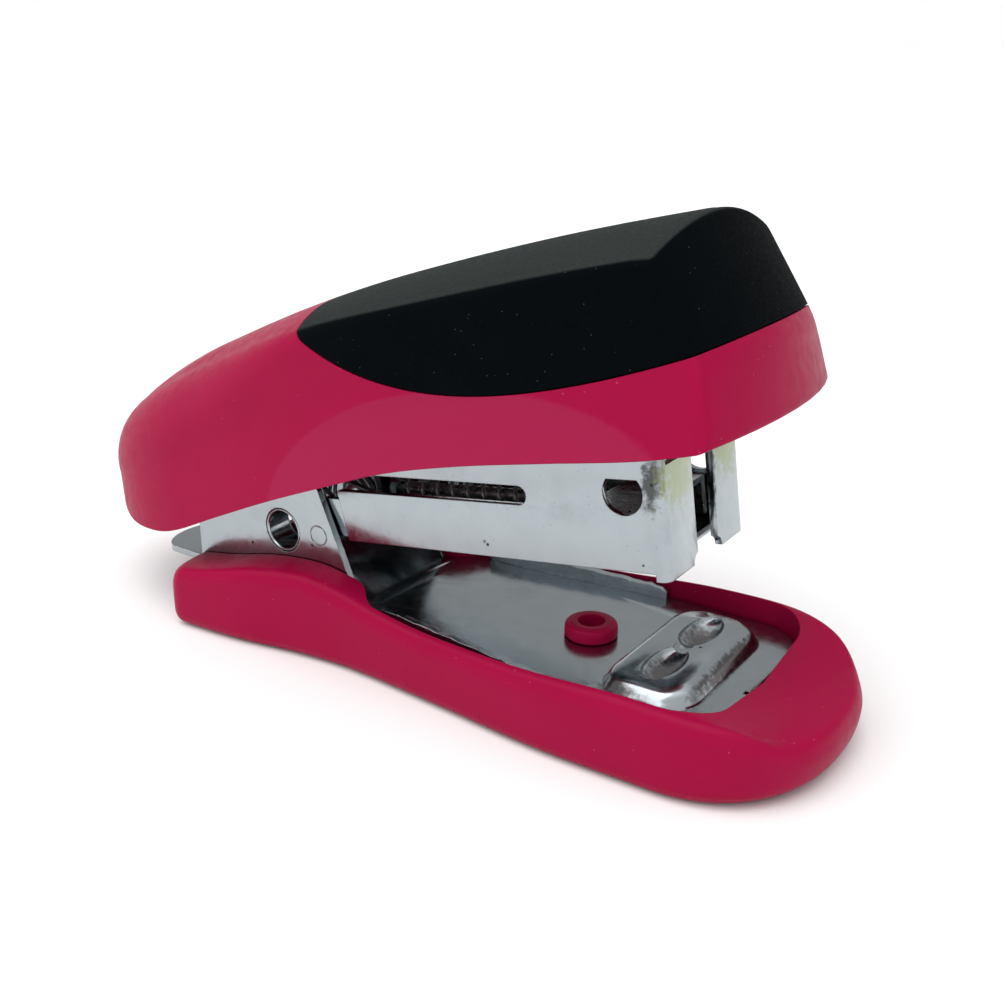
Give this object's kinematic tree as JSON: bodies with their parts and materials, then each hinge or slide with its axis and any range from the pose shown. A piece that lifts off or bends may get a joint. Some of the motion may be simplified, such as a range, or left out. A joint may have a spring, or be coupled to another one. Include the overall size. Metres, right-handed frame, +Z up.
{
  "type": "mini stapler",
  "caption": "Miniature desk stapler: pink base with chromed plate and anvil, chromed magazine on pivot eyelets, pink handle with a black grip insert.",
  "frame": {"origin": "on the surface the stapler stands on, on its middle plane, straight under the pivot", "axes": "+X towards the stapler's front (the anvil end), +Y to the left seen from behind, +Z up"},
  "size_m": [0.0835, 0.0258, 0.0444],
  "materials": {
    "pink_plastic": "satin moulded raspberry-pink plastic",
    "soft_black": "matt soft-touch black",
    "pad_rubber": "matt rubber sheet",
    "chromed_sheet": "bright chromed sheet steel",
    "bright_steel": "zinc-plated steel",
    "spring_steel": "drawn spring wire"
  },
  "bodies": {
    "base": {"base_shell": "pink_plastic", "base_pad": "pad_rubber", "base_plate": "chromed_sheet", "pivot_eyelet_right": "chromed_sheet", "pivot_eyelet_left": "chromed_sheet", "lift_spring": "spring_steel"},
    "magazine": {"magazine_case": "chromed_sheet", "staple_rail": "chromed_sheet", "rail_rivet_rear": "bright_steel", "rail_rivet_front": "bright_steel", "guide_rod": "bright_steel", "pusher_spring": "spring_steel"},
    "pusher": {"staple_pusher": "bright_steel"},
    "handle": {"handle_shell": "pink_plastic", "handle_insert": "soft_black", "handle_frame": "chromed_sheet", "driver_blade": "chromed_sheet", "driver_rivet_right": "bright_steel", "driver_rivet_left": "bright_steel", "frame_screw_rear": "bright_steel", "frame_screw_front": "bright_steel", "handle_spring": "spring_steel"}
  },
  "joints": [
    {"name": "magazine_hinge", "type": "hinge", "parent": "base", "child": "magazine", "pos_m": [0, 0, 0.01097], "axis": [0, 1, 0], "range_deg": [0, 11.5], "stiffness_Nm_per_rad": 0.12, "springref_deg": -14.32, "deforming": ["lift_spring"]},
    {"name": "handle_hinge", "type": "hinge", "parent": "magazine", "child": "handle", "pos_m": [0, 0, 0.01097], "axis": [0, 1, 0], "range_deg": [-13, 10.8], "stiffness_Nm_per_rad": 0.2, "springref_deg": -0.57, "deforming": ["handle_spring"]},
    {"name": "pusher_slide", "type": "slide", "parent": "magazine", "child": "pusher", "axis": [0.9896, 0, 0.144], "range_m": [-0.016, 0], "stiffness_N_per_m": 12, "springref_m": 0.01, "deforming": ["pusher_spring"]}
  ]
}
